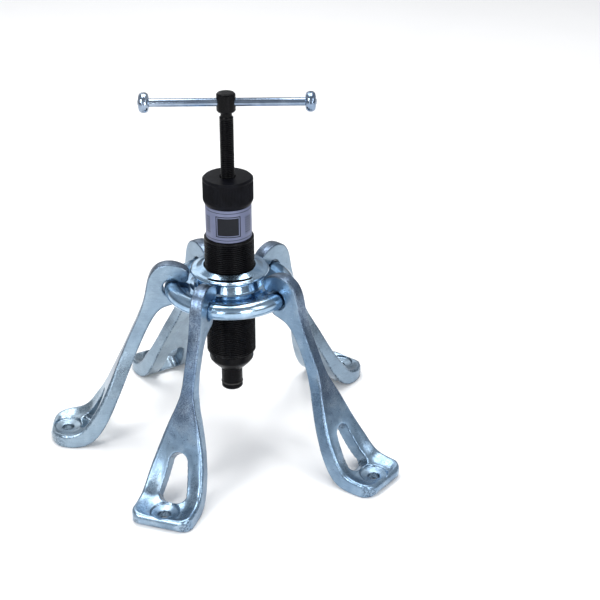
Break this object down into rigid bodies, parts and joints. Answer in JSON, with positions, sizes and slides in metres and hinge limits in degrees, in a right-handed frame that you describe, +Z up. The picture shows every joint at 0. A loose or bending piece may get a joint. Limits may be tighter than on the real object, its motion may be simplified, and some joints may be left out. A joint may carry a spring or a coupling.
{
  "type": "hydraulic hub puller",
  "caption": "Hydraulic hub and gear puller: a flanged yoke with a round rim, splayed hooked legs with slotted feet, and a threaded ram driven by a tee-bar screw.",
  "frame": {"origin": "centre of the flat end of the ram's nose, with the ram wound in and the feet standing flat 43 mm lower", "axes": "+Z up along the ram's axis towards the tee bar; +X to the right, along the tee bar as it stands within 1.4 degrees; +Y away from the viewer of the picture"},
  "size_m": [0.2757, 0.2701, 0.2874],
  "materials": {
    "yoke_zinc": "turned steel, blue-passivated bright zinc",
    "leg_zinc": "forged steel, blue-passivated zinc, fine speckle",
    "bright_zinc": "bright zinc plate",
    "black_oxide": "black oxide, lightly oiled",
    "ground_steel": "ground bright steel",
    "bush_brass": "turned",
    "label_sleeve": "satin silver printed sleeve, plain",
    "seal_rubber": "matt",
    "backup_plastic": "matt"
  },
  "bodies": {
    "yoke": {"yoke": "yoke_zinc"},
    "ram": {"ram_body": "black_oxide", "ram_cap": "black_oxide", "screw_bush": "bush_brass", "gland_nut": "black_oxide", "rod_wiper": "seal_rubber", "label_band": "label_sleeve", "return_spring": "ground_steel"},
    "thrust": {"thrust_ball": "ground_steel", "pump_plunger": "ground_steel", "plunger_seal": "seal_rubber"},
    "screw": {"forcing_screw": "black_oxide"},
    "bar": {"tommy_bar": "bright_zinc", "bar_knob_left": "bright_zinc", "bar_knob_right": "bright_zinc"},
    "piston": {"ram_piston": "black_oxide", "piston_seal": "seal_rubber", "piston_backup_ring": "backup_plastic", "nose_ring": "seal_rubber"},
    "leg_front_left": {"leg_front_left": "leg_zinc"},
    "leg_right": {"leg_right": "leg_zinc"},
    "leg_back_right": {"leg_back_right": "leg_zinc"},
    "leg_back_left": {"leg_back_left": "leg_zinc"},
    "leg_left": {"leg_left": "leg_zinc"}
  },
  "joints": [
    {"name": "ram_feed", "type": "slide", "parent": "yoke", "child": "ram", "axis": [0, 0, 1], "range_m": [-0.022, 0.04]},
    {"name": "screw_feed", "type": "slide", "parent": "ram", "child": "thrust", "axis": [0, 0, 1], "range_m": [-0.0436, 0]},
    {"name": "screw_turn", "type": "hinge", "parent": "thrust", "child": "screw", "pos_m": [0, 0, 0.16], "axis": [0, 0, 1], "range_deg": [-10440, 0]},
    {"name": "piston_extend", "type": "slide", "parent": "ram", "child": "piston", "axis": [0, 0, 1], "range_m": [-0.0103, 0], "deforming": ["return_spring"]},
    {"name": "bar_slide", "type": "slide", "parent": "screw", "child": "bar", "axis": [0.9997, 0.0244, 0], "range_m": [-0.0502, 0.0484]},
    {"name": "leg_front_left_swing", "type": "hinge", "parent": "yoke", "child": "leg_front_left", "pos_m": [-0.01727, -0.04069, 0.088], "axis": [0.9478, -0.319, 0], "range_deg": [0, 28]},
    {"name": "leg_right_swing", "type": "hinge", "parent": "yoke", "child": "leg_right", "pos_m": [0.03866, -0.02143, 0.088], "axis": [0.5934, 0.8049, 0], "range_deg": [0, 28]},
    {"name": "leg_back_right_swing", "type": "hinge", "parent": "yoke", "child": "leg_back_right", "pos_m": [0.02958, 0.03285, 0.088], "axis": [-0.7547, 0.6561, 0], "range_deg": [0, 28]},
    {"name": "leg_back_left_swing", "type": "hinge", "parent": "yoke", "child": "leg_back_left", "pos_m": [-0.02309, 0.03769, 0.088], "axis": [-0.8358, -0.549, 0], "range_deg": [0, 28]},
    {"name": "leg_left_swing", "type": "hinge", "parent": "yoke", "child": "leg_left", "pos_m": [-0.0442, -0.00039, 0.088], "axis": [0.0279, -0.9996, 0], "range_deg": [0, 28]}
  ],
  "couplings": [
    {"joint": "screw_feed", "follows": "screw_turn", "m_per_rad": 0.00023873},
    {"joint": "piston_extend", "follows": "screw_turn", "m_per_rad": 0.000055954}
  ]
}
